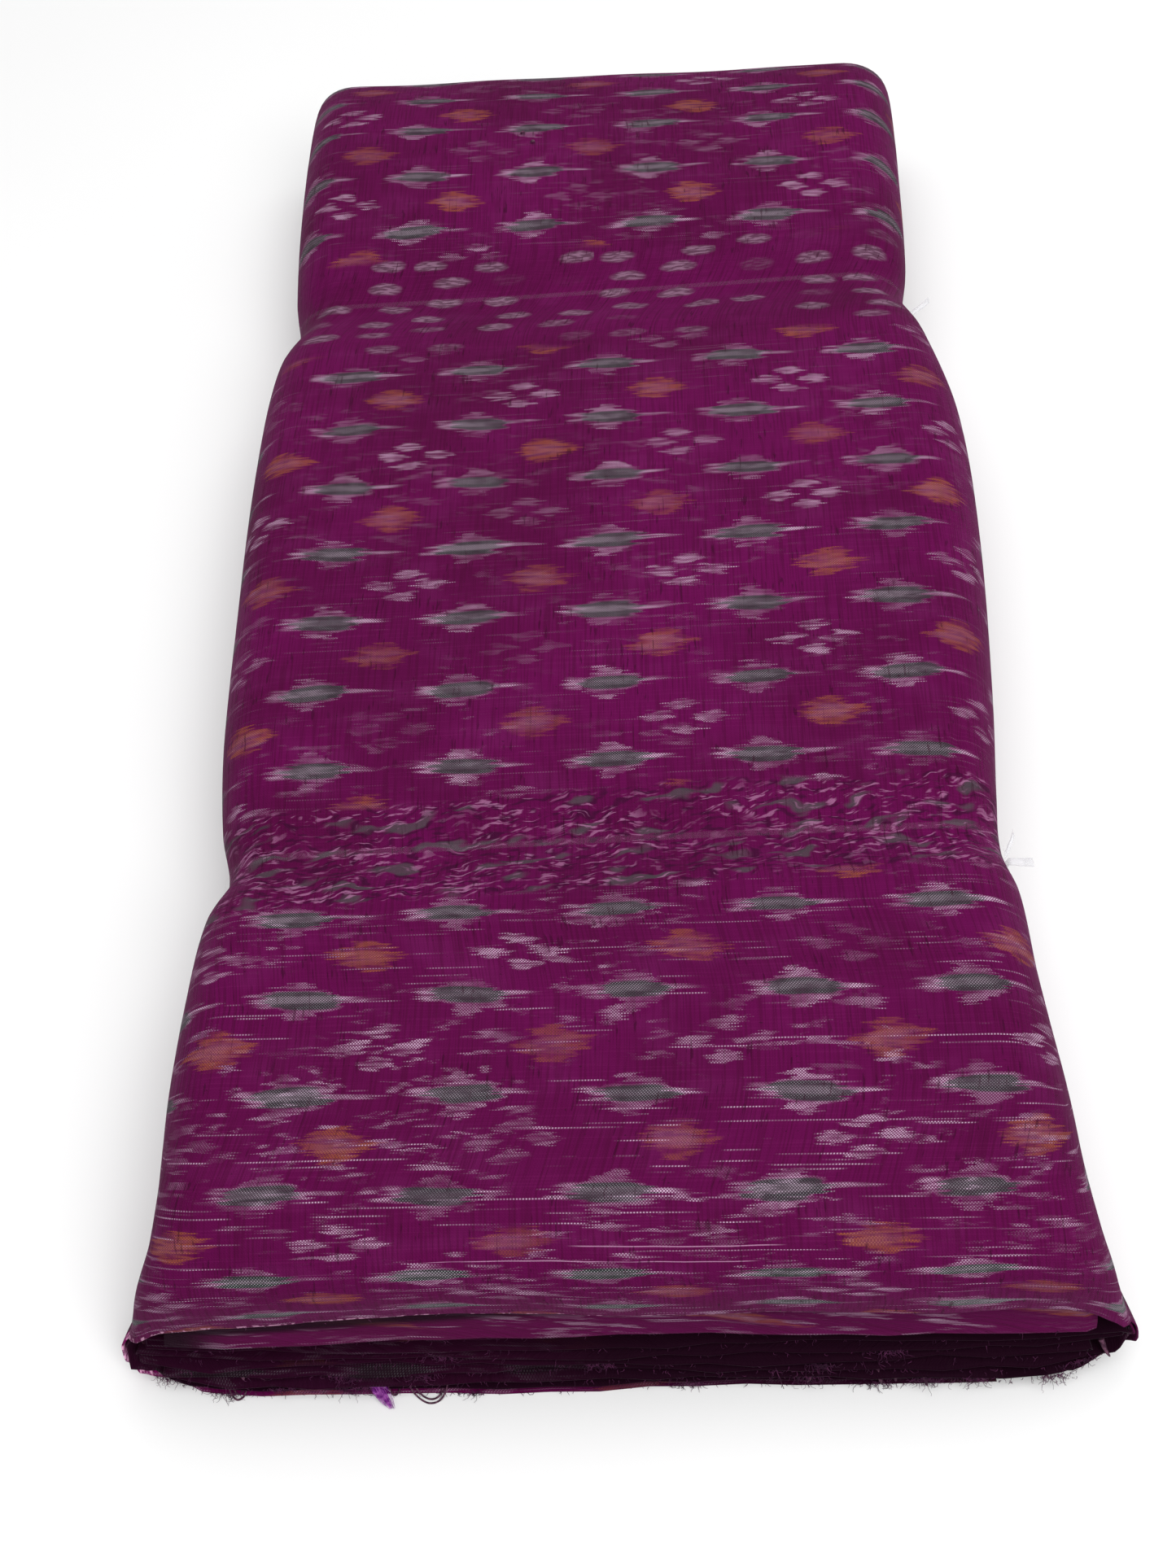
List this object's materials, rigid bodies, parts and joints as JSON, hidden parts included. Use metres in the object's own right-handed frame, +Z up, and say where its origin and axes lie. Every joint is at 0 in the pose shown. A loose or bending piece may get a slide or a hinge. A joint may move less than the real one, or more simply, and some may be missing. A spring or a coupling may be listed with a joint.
{
  "type": "folded ikat cloth",
  "caption": "Handwoven ikat cloth length, doubled and folded flat into a thick bundle, pinched by two narrow clear ties.",
  "frame": {"origin": "bottom centre of the bundle's box", "axes": "+Z up, +Y along the bundle away from the open selvedge edges, X across it along the warp"},
  "size_m": [0.3214, 0.6204, 0.0718],
  "materials": {
    "cloth": "slubby plain weave, resist-dyed leaf and star pattern on magenta purple",
    "clear_tie": "clear, glossy, thin"
  },
  "bodies": {
    "root": {"cloth": "cloth", "tie_front": "clear_tie", "tie_back": "clear_tie"}
  },
  "joints": []
}
